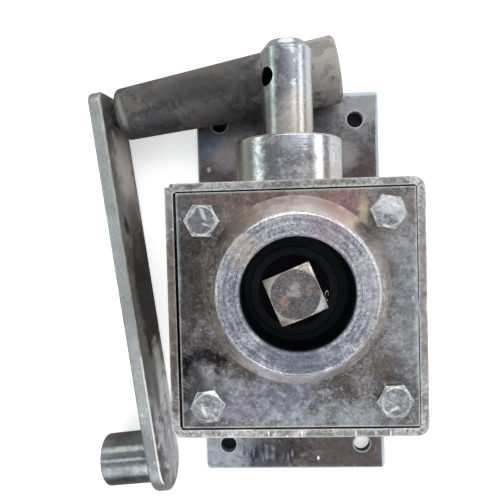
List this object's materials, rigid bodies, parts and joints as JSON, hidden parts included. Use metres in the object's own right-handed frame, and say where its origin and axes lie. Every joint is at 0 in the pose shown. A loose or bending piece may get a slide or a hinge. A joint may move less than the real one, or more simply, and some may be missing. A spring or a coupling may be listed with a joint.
{
  "type": "shutter gearbox",
  "caption": "Square steel mitre gearbox on a long mounting plate, with a round input shaft, a square output shaft in a conical collar, and its loose crank handle.",
  "frame": {"origin": "centre of the four wall holes, on the back face of the mounting plate", "axes": "+Z out of the plate along the square output shaft, +Y along the round input shaft, +X to the right"},
  "size_m": [0.157, 0.2417, 0.12],
  "materials": {
    "plate_steel": "grimy zinc plate, dull, blue-grey at the lower edge",
    "sleeve_steel": "folded strip, grimy zinc plate with saw-cut bright front edge",
    "cover_steel": "mottled zinc plate with heat tint and oily patches",
    "collar_steel": "turned, satin flank, ringed bright face",
    "bolt_zinc": "bright zinc, worn",
    "boss_steel": "turned and bright",
    "shaft_steel": "turned, bright, lightly oiled",
    "square_steel": "milled square, dull with rust specks",
    "gear_steel": "cut teeth, greased",
    "spring_steel": "blackened spring steel",
    "bearing_steel": "ground, greased",
    "seal_rubber": "black rubber",
    "bush_bronze": "plain bronze",
    "arm_steel": "flat bar, grimy zinc plate",
    "socket_steel": "dark blue-grey tube",
    "grip_plastic": "matte dark grey, dusty"
  },
  "bodies": {
    "housing": {"mounting_plate": "plate_steel", "housing_sleeve": "sleeve_steel", "front_cover": "cover_steel", "corner_lug_upper_left": "sleeve_steel", "corner_lug_upper_right": "sleeve_steel", "corner_lug_lower_left": "sleeve_steel", "corner_lug_lower_right": "sleeve_steel", "cover_bolt_upper_left": "bolt_zinc", "cover_bolt_upper_right": "bolt_zinc", "cover_bolt_lower_left": "bolt_zinc", "cover_bolt_lower_right": "bolt_zinc", "front_collar": "collar_steel", "bearing_outer_ring": "bearing_steel", "bearing_balls": "bearing_steel", "bearing_cage": "bearing_steel", "bearing_seal_front": "seal_rubber", "bearing_seal_rear": "seal_rubber", "bearing_retaining_ring": "spring_steel", "input_boss": "boss_steel", "input_bush_inner": "bush_bronze", "input_bush_outer": "bush_bronze", "rear_bush": "bush_bronze", "rear_bearing_cup": "sleeve_steel", "crank_arm": "arm_steel", "crank_socket": "socket_steel", "grip_spindle": "arm_steel", "grip_inner_washer": "arm_steel", "grip_end_washer": "arm_steel"},
    "input_drive": {"input_shaft": "shaft_steel", "input_gear": "gear_steel", "input_key": "gear_steel", "input_gear_clip": "spring_steel", "input_outer_clip": "spring_steel"},
    "output_drive": {"output_shaft": "square_steel", "output_gear": "gear_steel", "output_key": "gear_steel", "output_gear_clip": "spring_steel", "bearing_inner_ring": "bearing_steel"},
    "grip": {"crank_grip": "grip_plastic"}
  },
  "joints": [
    {"name": "output_turn", "type": "hinge", "parent": "housing", "child": "output_drive", "pos_m": [-0.0005, 0.007, 0.055], "axis": [0, 0, 1], "continuous": true},
    {"name": "input_turn", "type": "hinge", "parent": "housing", "child": "input_drive", "pos_m": [-0.0005, 0.007, 0.055], "axis": [0, 1, 0], "continuous": true},
    {"name": "grip_spin", "type": "hinge", "parent": "housing", "child": "grip", "pos_m": [-0.0972, 0.0947, 0.01777], "axis": [0.9867, 0.1536, 0.0536], "continuous": true}
  ],
  "couplings": [
    {"joint": "input_turn", "follows": "output_turn", "ratio": 1}
  ]
}
